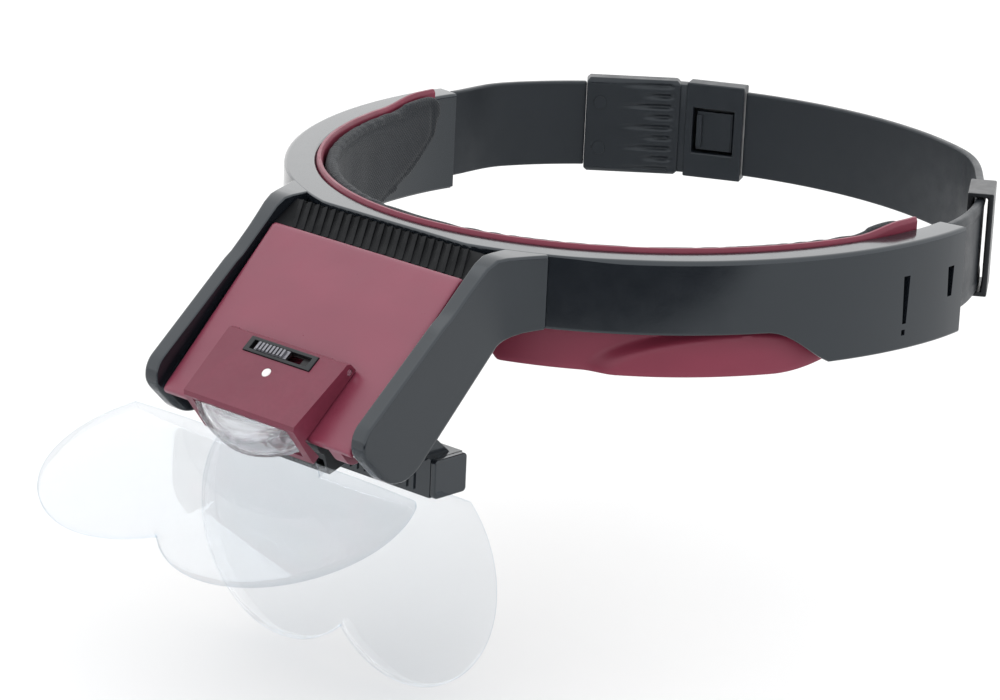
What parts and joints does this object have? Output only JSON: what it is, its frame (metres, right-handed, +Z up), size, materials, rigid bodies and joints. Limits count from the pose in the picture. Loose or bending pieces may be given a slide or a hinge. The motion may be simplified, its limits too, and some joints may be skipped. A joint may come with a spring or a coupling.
{
  "type": "head visor magnifier",
  "caption": "Oval headband with a sloping burgundy lamp visor at the brow, a tilting lamp and swinging clear binocular lens plates.",
  "frame": {"origin": "centre of the oval headband, half way up the rear strap", "axes": "+Z up, -Y the way the wearer faces, +X the wearer's left"},
  "size_m": [0.1694, 0.2464, 0.1038],
  "materials": {
    "band_plastic": "satin dark grey moulded plastic",
    "liner_plastic": "soft burgundy moulded liner",
    "pad_foam": "dark grey fabric over foam",
    "black_plastic": "matt black moulded plastic",
    "panel_plastic": "satin burgundy moulded plastic",
    "steel": "plain steel",
    "battery_wrap": "printed film sleeve, plain",
    "board": "green solder mask",
    "led_epoxy": "clear epoxy over a yellow phosphor",
    "mirror_metal": "bright plated metal",
    "clear_acrylic": "water-clear acrylic",
    "white_plastic": "translucent white",
    "strap_plastic": "flexible dark grey plastic strap"
  },
  "bodies": {
    "headband": {"front_band": "band_plastic", "sweatband_liner": "liner_plastic", "foam_pad": "pad_foam", "visor_frame": "band_plastic", "slot_grille": "black_plastic", "lamp_panel": "panel_plastic", "battery_case": "band_plastic", "door_hinge_pin": "steel", "batteries": "battery_wrap", "battery_contacts": "steel", "case_screws": "steel", "lamp_hinge_pins": "steel", "front_hinge_rod": "steel", "bar_pivot_pins": "steel"},
    "door": {"battery_door": "band_plastic"},
    "lamp_head": {"lamp_housing": "panel_plastic", "lamp_back_cover": "black_plastic", "circuit_board": "board", "leds": "led_epoxy", "reflector": "mirror_metal", "lamp_window": "clear_acrylic", "indicator_lens": "white_plastic", "switch_bezel": "black_plastic"},
    "switch": {"switch_slider": "mirror_metal"},
    "front_clip": {"front_lens_clip": "black_plastic"},
    "front_plate": {"front_lens": "clear_acrylic"},
    "rear_carrier": {"lens_bar": "black_plastic", "bar_end_caps": "band_plastic", "lens_springs": "steel"},
    "rear_plate": {"rear_lens": "clear_acrylic"},
    "rear_strap": {"strap_left": "strap_plastic", "strap_right": "strap_plastic", "strap_loop": "black_plastic", "buckle_body": "strap_plastic", "buckle_receiver": "strap_plastic", "buckle_rivets": "steel"},
    "buckle_tab": {"release_tab": "strap_plastic"}
  },
  "joints": [
    {"name": "battery_door_hinge", "type": "hinge", "parent": "headband", "child": "door", "pos_m": [0, -0.09071, -0.01036], "axis": [1, 0, 0], "range_deg": [0, 65]},
    {"name": "lamp_tilt", "type": "hinge", "parent": "headband", "child": "lamp_head", "pos_m": [0, -0.12097, -0.01375], "axis": [-1, 0, 0], "range_deg": [0, 15]},
    {"name": "switch_slide", "type": "slide", "parent": "lamp_head", "child": "switch", "axis": [1, 0, 0], "range_m": [0, 0.006]},
    {"name": "front_clip_tilt", "type": "hinge", "parent": "headband", "child": "front_clip", "pos_m": [0, -0.124, -0.0295], "axis": [-1, 0, 0], "range_deg": [-10, 12]},
    {"name": "front_plate_slide", "type": "slide", "parent": "front_clip", "child": "front_plate", "axis": [0, -0.9511, -0.309], "range_m": [0, 0.012]},
    {"name": "lens_bar_flip", "type": "hinge", "parent": "headband", "child": "rear_carrier", "pos_m": [0, -0.118, -0.023], "axis": [-1, 0, 0], "range_deg": [0, 45]},
    {"name": "rear_plate_slide", "type": "slide", "parent": "rear_carrier", "child": "rear_plate", "axis": [0, 0, -1], "range_m": [0, 0.01]},
    {"name": "strap_slide", "type": "slide", "parent": "headband", "child": "rear_strap", "axis": [0, 1, 0], "range_m": [0, 0.016]},
    {"name": "release_tab_press", "type": "hinge", "parent": "rear_strap", "child": "buckle_tab", "pos_m": [-0.0353, 0.06989, 0], "axis": [0, 0, 1], "range_deg": [0, 8]}
  ]
}
